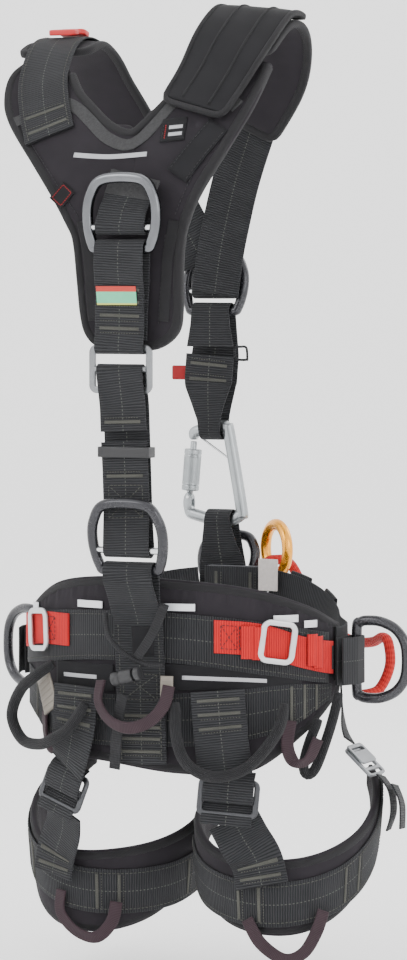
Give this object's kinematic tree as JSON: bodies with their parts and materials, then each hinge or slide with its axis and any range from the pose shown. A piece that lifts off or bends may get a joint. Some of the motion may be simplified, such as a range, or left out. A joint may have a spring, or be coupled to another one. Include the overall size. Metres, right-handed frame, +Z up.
{
  "type": "tree climbing saddle",
  "caption": "Full-body tree climbing saddle: padded yoke, belt and leg loops, webbing straps, attachment rings, locking connector, rope bridge ring and gear loops.",
  "frame": {"origin": "centre of the waist belt's inner ellipse at the belt's mid height", "axes": "+Z up along the wearer, +Y the way the wearer faces, +X towards the wearer's right hip"},
  "size_m": [0.4127, 0.2857, 0.8297],
  "materials": {
    "pad_cloth": "soft-shell cloth over foam, black bound edges",
    "webbing": "ribbed polyester webbing",
    "flap_cloth": "plain woven cloth",
    "reflective": "reflective tape",
    "grey_liner": "stiff grey liner",
    "dark_alloy": "dark anodised alloy",
    "red_plastic": "moulded red plastic",
    "bright_steel": "dark polished forged steel",
    "green_label": "woven label, plain",
    "satin_steel": "satin steel",
    "black_alloy": "glossy black anodised forged alloy",
    "red_label": "woven tag, plain",
    "zinc_steel": "zinc-plated steel",
    "red_rope": "braided red rope",
    "orange_alloy": "orange anodised alloy",
    "red_webbing": "red webbing",
    "bright_alloy": "bright satin alloy",
    "elastic": "flat elastic",
    "dark_plastic": "smoky moulded plastic",
    "spring_steel": "spring wire",
    "loop_sleeve": "textile-covered stiff tube",
    "brown_tape": "purple-brown tape",
    "beige_plastic": "moulded beige plastic"
  },
  "bodies": {
    "harness": {"belt_pad": "pad_cloth", "belt_webbing": "webbing", "lower_webbing": "webbing", "belt_flap": "flap_cloth", "reflective_tabs": "reflective", "front_belt": "webbing", "front_tab": "grey_liner", "front_buckle": "dark_alloy", "back_yoke": "pad_cloth", "yoke_pocket": "flap_cloth", "shoulder_strap_left": "webbing", "shoulder_strap_right": "webbing", "shoulder_pads": "pad_cloth", "shoulder_cover": "flap_cloth", "shoulder_adjuster": "red_plastic", "dorsal_hanger": "webbing", "dorsal_strap": "webbing", "fall_indicator": "green_label", "dorsal_adjuster": "satin_steel", "spine_strap": "webbing", "spine_keeper": "webbing", "lumbar_strap": "webbing", "chest_strap": "webbing", "chest_tags": "red_label", "connector_body": "zinc_steel", "gate_pin": "zinc_steel", "captive_bar": "zinc_steel", "ventral_ring": "black_alloy", "ventral_strap": "webbing", "bridge_rope": "red_rope", "side_lugs": "webbing", "side_straps": "red_webbing", "side_buckle_right": "bright_alloy", "side_buckle_left": "bright_alloy", "cord_tape": "elastic", "cord_lock_barrel": "dark_plastic", "cord_lock_spring": "spring_steel", "gear_loops": "loop_sleeve", "accessory_loops": "brown_tape", "tool_slots": "beige_plastic", "risers": "webbing", "riser_adjuster_left": "dark_alloy", "riser_adjuster_right": "dark_alloy", "leg_pad_left": "pad_cloth", "leg_pad_right": "pad_cloth", "leg_webbing": "webbing", "leg_loops": "brown_tape", "leg_links": "webbing", "leg_tail_right": "webbing", "leg_buckle_frame": "satin_steel"},
    "dorsal_ring": {"dorsal_ring": "bright_steel"},
    "back_ring": {"back_ring": "black_alloy"},
    "sternal_ring": {"sternal_ring": "black_alloy"},
    "side_ring_right": {"side_ring_right": "black_alloy"},
    "side_ring_left": {"side_ring_left": "black_alloy"},
    "bridge_ring": {"bridge_ring": "orange_alloy"},
    "gate": {"connector_gate": "zinc_steel"},
    "sleeve": {"connector_sleeve": "zinc_steel"},
    "lock_button": {"cord_lock_button": "dark_plastic"},
    "buckle_tongue": {"leg_buckle_tongue": "satin_steel"}
  },
  "joints": [
    {"name": "dorsal_ring_tilt", "type": "hinge", "parent": "harness", "child": "dorsal_ring", "pos_m": [0.002, -0.134, 0.387], "axis": [1, 0, 0], "range_deg": [-3, 7]},
    {"name": "back_ring_tilt", "type": "hinge", "parent": "harness", "child": "back_ring", "pos_m": [0.007, -0.13, 0.111], "axis": [1, 0, 0], "range_deg": [-2, 9]},
    {"name": "sternal_ring_tilt", "type": "hinge", "parent": "harness", "child": "sternal_ring", "pos_m": [-0.025, 0.112, 0.331], "axis": [1, 0, 0], "range_deg": [-9, 2]},
    {"name": "side_ring_right_swing", "type": "hinge", "parent": "harness", "child": "side_ring_right", "pos_m": [0.158, 0.014, 0.02], "axis": [0, 0, 1], "range_deg": [-60, 40]},
    {"name": "side_ring_left_swing", "type": "hinge", "parent": "harness", "child": "side_ring_left", "pos_m": [-0.158, 0.014, 0.018], "axis": [0, 0, 1], "range_deg": [-20, 75]},
    {"name": "bridge_ring_spin", "type": "hinge", "parent": "harness", "child": "bridge_ring", "pos_m": [0.033, 0.122, 0.106], "axis": [0.6428, 0.766, 0], "continuous": true},
    {"name": "gate_open", "type": "hinge", "parent": "harness", "child": "gate", "pos_m": [-0.0498, 0.112, 0.152], "axis": [0, 1, 0], "range_deg": [0, 24], "stiffness_Nm_per_rad": 0.08, "springref_deg": -20.05},
    {"name": "sleeve_turn", "type": "hinge", "parent": "gate", "child": "sleeve", "pos_m": [-0.0498, 0.112, 0.152], "axis": [0.086, 0, 0.9963], "range_deg": [0, 90], "stiffness_Nm_per_rad": 0.01, "springref_deg": -28.65},
    {"name": "lock_press", "type": "slide", "parent": "harness", "child": "lock_button", "axis": [-0.9703, 0, -0.2419], "range_m": [0, 0.002], "stiffness_N_per_m": 900, "springref_m": -0.004},
    {"name": "buckle_release", "type": "hinge", "parent": "harness", "child": "buckle_tongue", "pos_m": [0.14343, 0.04, -0.05895], "axis": [0, 1, 0], "range_deg": [-70, 0]}
  ]
}
